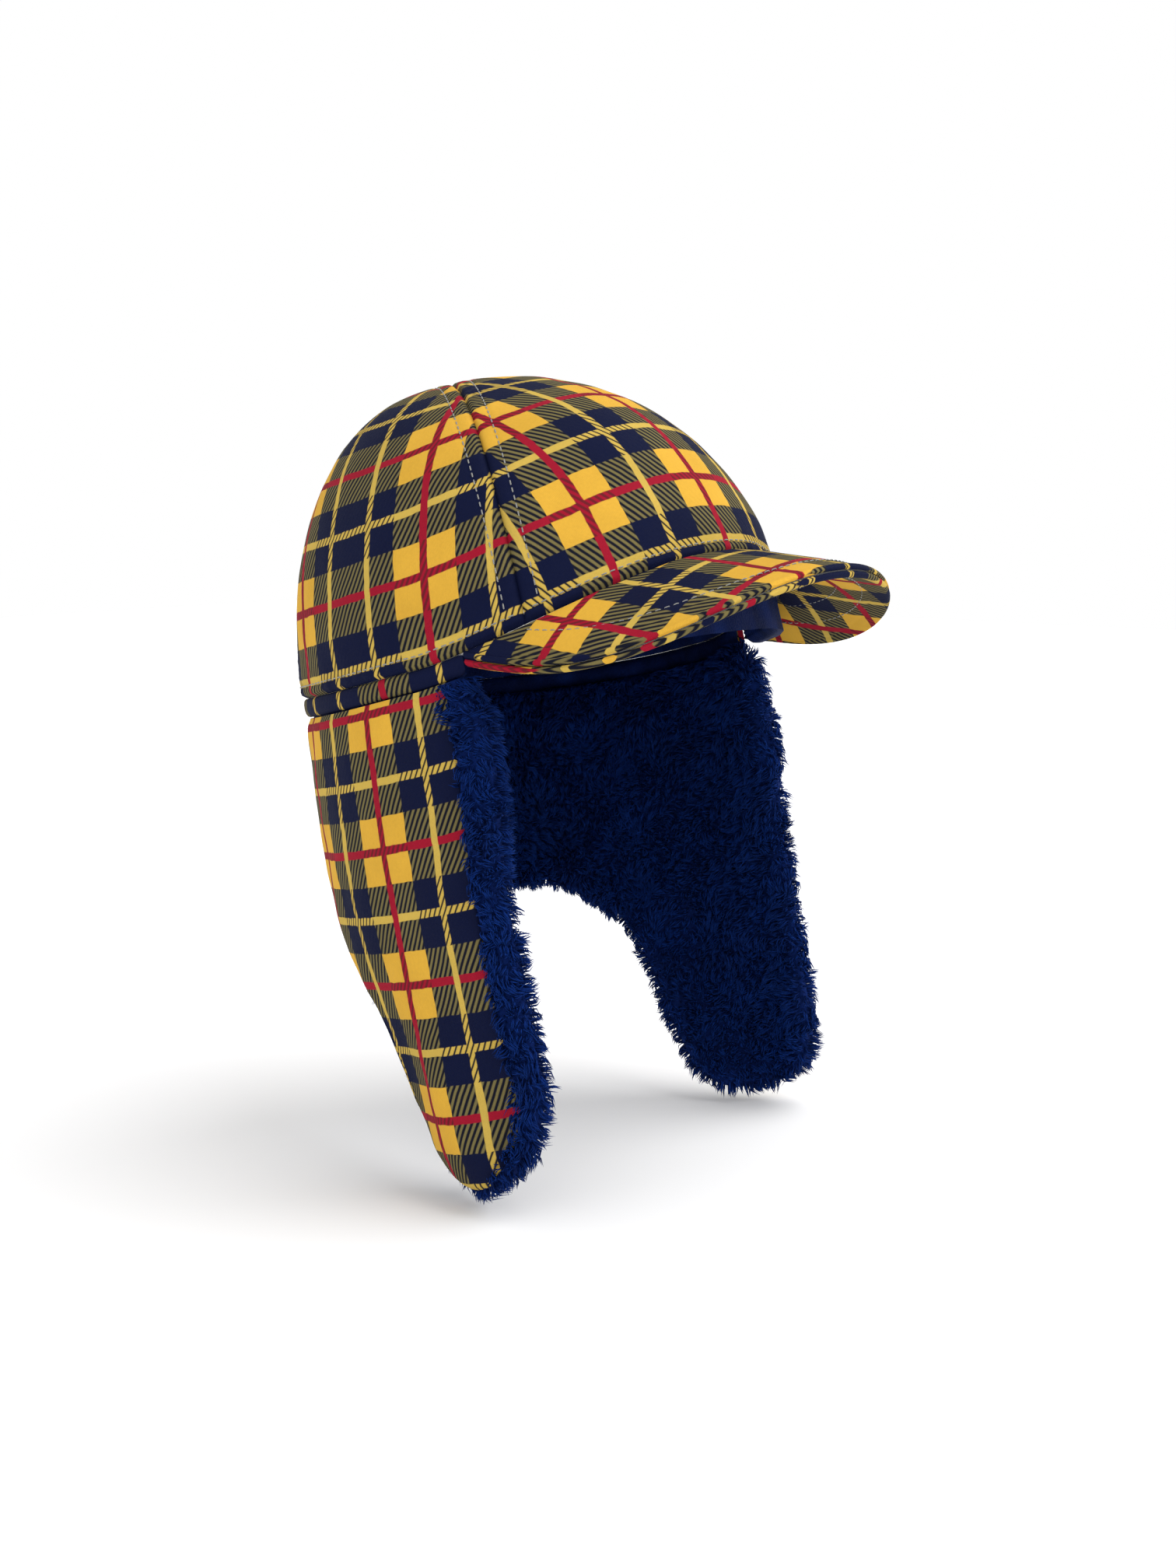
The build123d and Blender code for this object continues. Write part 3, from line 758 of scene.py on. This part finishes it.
def flap_plush(side, theta, z, free):
    """Rounded pads behind the cloth that stand past its edge, with pile on their insides and edges."""
    shape = theta.shape
    total = shape[0] * shape[1]
    depth = hem_height(-DEPTH * np.cos(theta)) - SEAM_TOP - z
    ahead = np.clip(1 - (theta - theta[:, :1]) / radians(16), 0, 1) * step(z, -95, -35)
    ahead = ahead * (step(depth, 2, 18) if side == "right" else 1.9 * step(depth, -3, 9))
    theta = theta - radians(3.2) * ahead
    spin = theta if side == "right" else 2 * pi - theta
    lump = 0.6 * ripple(flap(spin, z), 26, 91)
    for place in ("ear", "corner", "neck"):
        inside = in_segment(place, theta, z, 7.0)
        room = np.minimum(free, inside)
        full = np.sqrt(np.clip(1 - (1 - np.clip(room / 6.5, 0, 1)) ** 2, 0, 1))
        slim = 1 - 0.45 * np.exp(-(depth / 7) ** 2)
        turn = 5.5 * np.exp(-(free / 11) ** 2) * step(np.degrees(theta), 82, 96)
        outer_face = flap(spin, z, 6.6 - 4.0 * full + turn)
        front = step(-np.degrees(theta), -88, -74)
        thick = 4.2 + (3.2 * step(z, -100, -40) - 0.8) * front + lump
        inner_face = flap(spin, z, 6.6 + thick * full * slim + turn)
        points = np.concatenate([outer_face.reshape(-1, 3), inner_face.reshape(-1, 3)])
        sheet = grid_faces(*shape)
        sheet = sheet[(inside.ravel()[sheet] > -0.5).all(1)]
        outer, inner = sheet, sheet[:, ::-1] + total
        i = np.arange(shape[1] - 1)
        top = np.stack([i, i + 1, i + 1 + total, i + total], -1)[:, ::-1]
        top = top[(inside[0][np.stack([i, i + 1], -1)] > -0.5).all(1)]
        faces = np.concatenate([outer, inner, top])
        v = points[inner]
        normal = np.cross(v[:, 2] - v[:, 0], v[:, 3] - v[:, 1])
        if (normal * (v.mean(1) * [1, 1, 0])).sum() > 0:
            faces = faces[:, ::-1]
        shown = np.concatenate([(free < 4.2 + 9 * front).ravel(), np.ones(total, bool)])
        keep = shown[faces].all(1)
        keep[len(outer) * 2:] = False
        seed = 100 + 10 * len(place) + (side == "left")
        hairs, hair_faces, hair_uv = tufts(points, faces, keep, HAIRS[place], HAIR_LENGTH, seed)
        base_uv = np.stack([0.5 + 0.3 * ripple(points, 5, 4), np.full(len(points), 0.45)], -1)
        tris = np.concatenate([faces[:, [0, 1, 2]], faces[:, [0, 2, 3]]])
        points, tris, base_uv = used(points, tris, base_uv)
        every = np.concatenate([tris, hair_faces + len(points)])
        nodes = [f"{side}_{place}_plush"] + ([f"{side}_ear_tip_plush"] if place == "ear" else [])
        ob = make(f"{side}_{place}_flap_plush", np.concatenate([points, hairs]), every,
                  np.concatenate([base_uv, hair_uv]), PLUSH, nodes, None, "blue_plush")
        fold_or_ride(ob, side, place)


crown_panels()
band_pieces()
brim_pieces()
pad_theta, pad_z = flap_grid(1.8, FLAP_FRONT - 1.0, 74)
pad_free = edge_distance(pad_theta, pad_z)
cloth_theta, cloth_z = flap_grid(0.0, FLAP_FRONT, 120)
cloth_free = edge_distance(cloth_theta, cloth_z)
for side in ("right", "left"):
    flap_plush(side, pad_theta, pad_z, pad_free)
    flap_cloth(side, cloth_theta, cloth_z, cloth_free)


# Floor, light and camera
def studio():
    """A pale floor, a soft key and side light, a bright surround, and the fitted camera."""
    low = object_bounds()[0]
    size = 3.0
    me = bpy.data.meshes.new("floor")
    corners = [(-size, -size, 0), (size, -size, 0), (size, size, 0), (-size, size, 0)]
    me.from_pydata(corners, [], [(0, 1, 2, 3)])
    floor = bpy.data.objects.new("floor", me)
    floor.location = (0, 0, low.z - 0.001)
    n = Nodes("floor")
    n.bsdf.inputs["Base Color"].default_value = (0.93, 0.93, 0.935, 1)
    n.bsdf.inputs["Roughness"].default_value = 0.95
    n.bsdf.inputs["Specular IOR Level"].default_value = 0.0
    me.materials.append(n.mat)
    bpy.context.scene.collection.objects.link(floor)
    floor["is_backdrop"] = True
    world = bpy.data.worlds.new("studio")
    world.use_nodes = True
    tree = world.node_tree
    place, split = tree.nodes.new("ShaderNodeTexCoord"), tree.nodes.new("ShaderNodeSeparateXYZ")
    ramp = tree.nodes.new("ShaderNodeValToRGB")
    ramp.color_ramp.elements[0].position, ramp.color_ramp.elements[0].color = 0.45, (1, 1, 1, 1)
    ramp.color_ramp.elements[1].position, ramp.color_ramp.elements[1].color = 0.85, (0.5, 0.5, 0.5, 1)
    tree.links.new(place.outputs["Generated"], split.inputs[0])
    tree.links.new(split.outputs[2], ramp.inputs[0])
    tree.links.new(ramp.outputs[0], tree.nodes["Background"].inputs[0])
    bpy.context.scene.world = world
    suns = (("key", (-0.34, 0.50, -0.80), 2.3, 62), ("side", (0.80, 0.30, -0.50), 0.4, 60))
    for name, way, power, spread in suns:
        data = bpy.data.lights.new(name, "SUN")
        data.energy, data.angle = power, radians(spread)
        lamp = bpy.data.objects.new(name, data)
        lamp.rotation_euler = Vector(way).to_track_quat("-Z", "Y").to_euler()
        bpy.context.scene.collection.objects.link(lamp)
    azimuth, height = radians(-50.8), radians(8.33)
    back = Vector((sin(azimuth) * cos(height), -cos(azimuth) * cos(height), sin(height)))
    right = Vector((cos(azimuth), sin(azimuth), 0))
    up = back.cross(right)
    data = bpy.data.cameras.new("camera")
    data.sensor_fit, data.sensor_width, data.lens = "HORIZONTAL", 36.0, 36.0 * 2708 / 1512
    data.clip_start, data.clip_end = 0.05, 20
    camera = bpy.data.objects.new("camera", data)
    camera.matrix_world = Matrix.Translation(back * 0.8922 + right * 0.0178 + up * -0.0477) @ Matrix(
        (right, up, back)).transposed().to_4x4()
    bpy.context.scene.collection.objects.link(camera)
    bpy.context.scene.camera = camera
    bpy.context.scene.view_settings.view_transform = "Standard"


studio()
